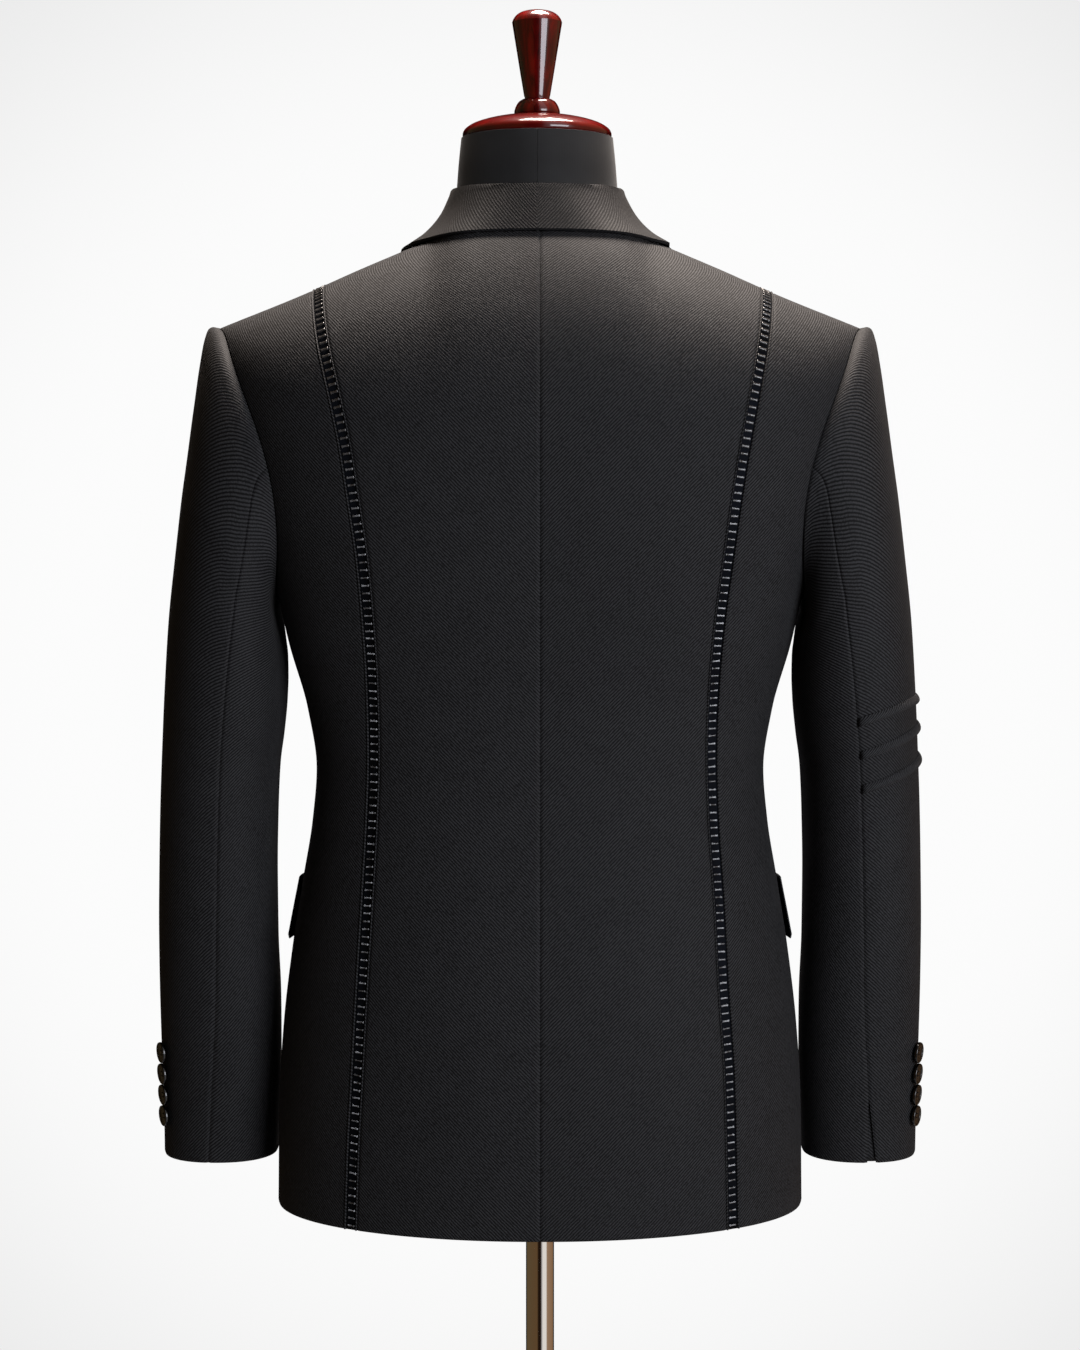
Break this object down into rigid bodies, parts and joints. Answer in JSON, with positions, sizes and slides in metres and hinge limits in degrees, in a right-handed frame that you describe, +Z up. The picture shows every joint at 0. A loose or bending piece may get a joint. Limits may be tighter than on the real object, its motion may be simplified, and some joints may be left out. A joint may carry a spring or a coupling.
{
  "type": "tuxedo jacket on a dress form",
  "caption": "Near-black evening jacket with ladder trim down the back, satin peak lapels and sleeve welts, standing on a limbless dress form with a pole and round base.",
  "frame": {"origin": "centre of the base's underside, on the floor", "axes": "+Z up along the pole; the jacket's front faces -Y and its back +Y; +X is the wearer's left"},
  "size_m": [0.5984, 0.38, 1.5958],
  "materials": {
    "twill": "matte near-black wool twill",
    "welt_twill": "matte wool twill, pressed tucks",
    "satin": "black silk satin, soft sheen",
    "horn": "polished black",
    "form_cover": "matte black cotton jersey",
    "cherry_wood": "dark cherry-red gloss lacquer",
    "chrome": "mirror polished",
    "base_paint": "black satin paint"
  },
  "bodies": {
    "root": {"back_left": "twill", "back_right": "twill", "base": "base_paint", "cap_bead": "cherry_wood", "cap_handle": "cherry_wood", "collar": "twill", "flap_left": "twill", "flap_right": "twill", "form_body": "form_cover", "front_button": "horn", "front_left": "twill", "front_right": "twill", "lapel_left": "satin", "lapel_right": "satin", "neck_cap": "cherry_wood", "pole": "chrome", "side_back_left": "twill", "side_back_right": "twill", "sleeve_button_left_1": "horn", "sleeve_button_left_2": "horn", "sleeve_button_left_3": "horn", "sleeve_button_left_4": "horn", "sleeve_button_right_1": "horn", "sleeve_button_right_2": "horn", "sleeve_button_right_3": "horn", "sleeve_button_right_4": "horn", "sleeve_welt_1": "welt_twill", "sleeve_welt_2": "welt_twill", "sleeve_welt_3": "welt_twill", "top_sleeve_left": "twill", "top_sleeve_right": "twill", "trim_left": "satin", "trim_right": "satin", "under_sleeve_left": "twill", "under_sleeve_right": "twill"}
  },
  "joints": []
}
